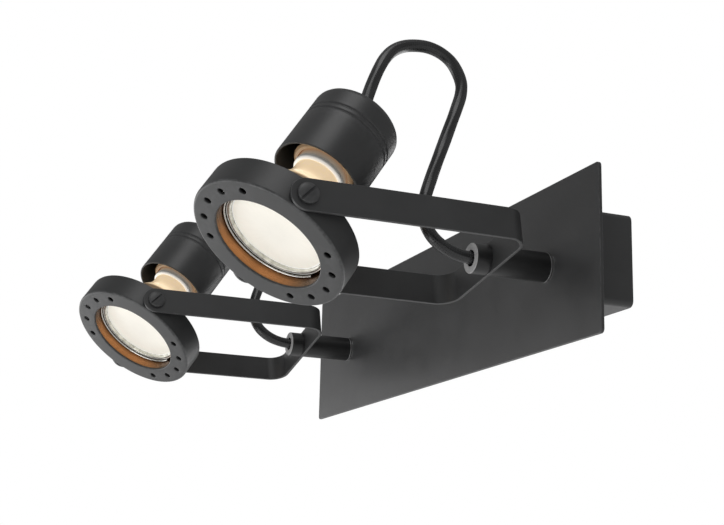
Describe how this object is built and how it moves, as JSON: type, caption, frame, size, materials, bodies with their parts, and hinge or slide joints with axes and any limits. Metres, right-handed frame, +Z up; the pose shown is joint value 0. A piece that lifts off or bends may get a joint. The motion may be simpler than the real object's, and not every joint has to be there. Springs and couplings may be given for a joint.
{
  "type": "spotlight bar",
  "caption": "Black wall bar whose long flat plate carries swivelling ring spots, each a lamp in a vented ring between the arms of a yoke, with a looped cable.",
  "frame": {"origin": "centre of the wall bracket's back face, which lies on the wall", "axes": "+X along the bar, -Y away from the wall, +Z up; the heads are stored tilted down and swivelled as in the picture"},
  "size_m": [0.337, 0.1943, 0.1493],
  "materials": {
    "black_paint": "matt fine-texture powder coat",
    "ring_paint": "matt powder coat",
    "zinc_steel": "zinc plated",
    "brass": "plain",
    "block_plastic": "moulded",
    "grommet_rubber": "matt",
    "wire_insulation": "extruded",
    "cable_sheath": "satin",
    "copper_liner": "copper coloured satin",
    "frosted_lens": "frosted",
    "reflector_glass": "coated glass",
    "lamp_ceramic": "glazed ceramic",
    "plated_pin": "nickel plated"
  },
  "bodies": {
    "base": {"front_plate": "black_paint", "housing": "black_paint", "plate_nuts": "zinc_steel", "wall_bracket": "zinc_steel", "side_screws": "zinc_steel", "terminal_block": "block_plastic", "terminal_sleeves": "brass", "terminal_screws": "zinc_steel", "block_screw": "zinc_steel", "earth_screw": "brass", "mains_grommet": "grommet_rubber", "stem_left": "black_paint", "stem_washer_left": "zinc_steel", "stem_nut_left": "zinc_steel", "lamp_wires_left": "wire_insulation", "stem_right": "black_paint", "stem_washer_right": "zinc_steel", "stem_nut_right": "zinc_steel", "lamp_wires_right": "wire_insulation"},
    "yoke_left": {"swivel_tube_left": "zinc_steel", "swivel_washer_left": "zinc_steel", "swivel_nut_left": "zinc_steel", "yoke_left": "black_paint", "collar_left": "black_paint", "cable_left": "cable_sheath"},
    "head_left": {"ring_left": "ring_paint", "liner_left": "copper_liner", "lamp_clip_left": "plated_pin", "tilt_screws_left": "black_paint", "tilt_washers_left": "zinc_steel", "lamp_lens_left": "frosted_lens", "lamp_reflector_left": "reflector_glass", "lamp_base_left": "lamp_ceramic", "lamp_pins_left": "plated_pin", "lampholder_left": "lamp_ceramic", "holder_screws_left": "zinc_steel", "cap_left": "black_paint", "cap_bushing_left": "cable_sheath"},
    "yoke_right": {"swivel_tube_right": "zinc_steel", "swivel_washer_right": "zinc_steel", "swivel_nut_right": "zinc_steel", "yoke_right": "black_paint", "collar_right": "black_paint", "cable_right": "cable_sheath"},
    "head_right": {"ring_right": "ring_paint", "liner_right": "copper_liner", "lamp_clip_right": "plated_pin", "tilt_screws_right": "black_paint", "tilt_washers_right": "zinc_steel", "lamp_lens_right": "frosted_lens", "lamp_reflector_right": "reflector_glass", "lamp_base_right": "lamp_ceramic", "lamp_pins_right": "plated_pin", "lampholder_right": "lamp_ceramic", "holder_screws_right": "zinc_steel", "cap_right": "black_paint", "cap_bushing_right": "cable_sheath"}
  },
  "joints": [
    {"name": "swivel_left", "type": "hinge", "parent": "base", "child": "yoke_left", "pos_m": [-0.1215, -0.0276, 0], "axis": [0, -1, 0], "range_deg": [-185.3, 154.7]},
    {"name": "tilt_left", "type": "hinge", "parent": "yoke_left", "child": "head_left", "pos_m": [-0.1215, -0.1596, 0], "axis": [0.9646, 0, 0.2639], "range_deg": [-25, 65], "deforming": ["cable_left"]},
    {"name": "swivel_right", "type": "hinge", "parent": "base", "child": "yoke_right", "pos_m": [0.1215, -0.0276, 0], "axis": [0, -1, 0], "range_deg": [-180.7, 159.3]},
    {"name": "tilt_right", "type": "hinge", "parent": "yoke_right", "child": "head_right", "pos_m": [0.1215, -0.1596, 0], "axis": [0.9826, 0, 0.1857], "range_deg": [-25, 65], "deforming": ["cable_right"]}
  ]
}
